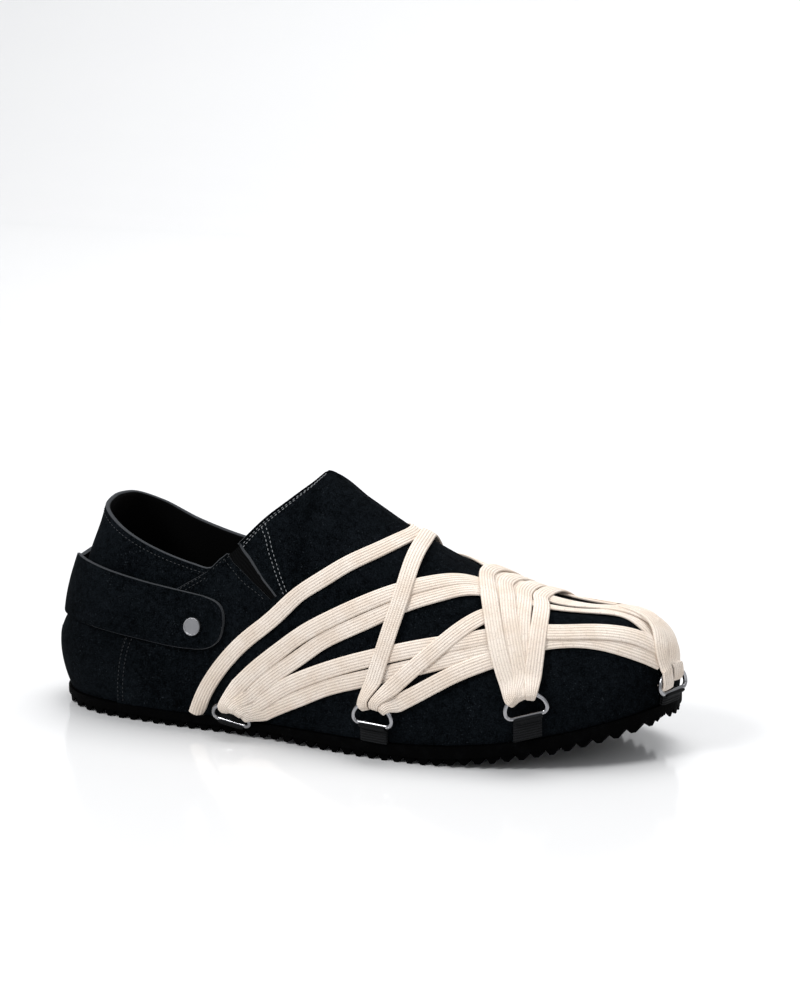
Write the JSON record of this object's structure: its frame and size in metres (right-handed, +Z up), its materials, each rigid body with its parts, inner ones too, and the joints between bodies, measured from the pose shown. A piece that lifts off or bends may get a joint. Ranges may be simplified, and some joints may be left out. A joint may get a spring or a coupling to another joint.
{
  "type": "slip-on shoe",
  "caption": "Low suede slip-on shoe, right foot, with a snapped heel strap and a flat lace run over the vamp between D-rings.",
  "frame": {"origin": "on the floor, under the middle of the shoe's box", "axes": "+X to the toe, +Y to the inner side of the foot, +Z up"},
  "size_m": [0.2946, 0.1074, 0.1135],
  "materials": {
    "rubber": "matt black rubber",
    "footbed": "matt black lining",
    "suede": "black suede with a short nap",
    "elastic": "ribbed black elastic",
    "snap_steel": "satin nickel",
    "ring_steel": "polished steel wire",
    "webbing": "black ribbed webbing",
    "cotton": "flat cream cotton braid"
  },
  "bodies": {
    "root": {"outsole": "rubber", "insole": "footbed", "upper": "suede", "gusset_lateral": "elastic", "gusset_medial": "elastic", "heel_strap": "suede", "snap_lateral": "snap_steel", "snap_medial": "snap_steel", "ring_rear_lateral": "ring_steel", "ring_mid_lateral": "ring_steel", "ring_front_lateral": "ring_steel", "ring_toe": "ring_steel", "ring_front_medial": "ring_steel", "ring_mid_medial": "ring_steel", "ring_rear_medial": "ring_steel", "webbing_rear_lateral": "webbing", "webbing_mid_lateral": "webbing", "webbing_front_lateral": "webbing", "webbing_toe": "webbing", "webbing_front_medial": "webbing", "webbing_mid_medial": "webbing", "webbing_rear_medial": "webbing", "lace_1": "cotton"}
  },
  "joints": []
}
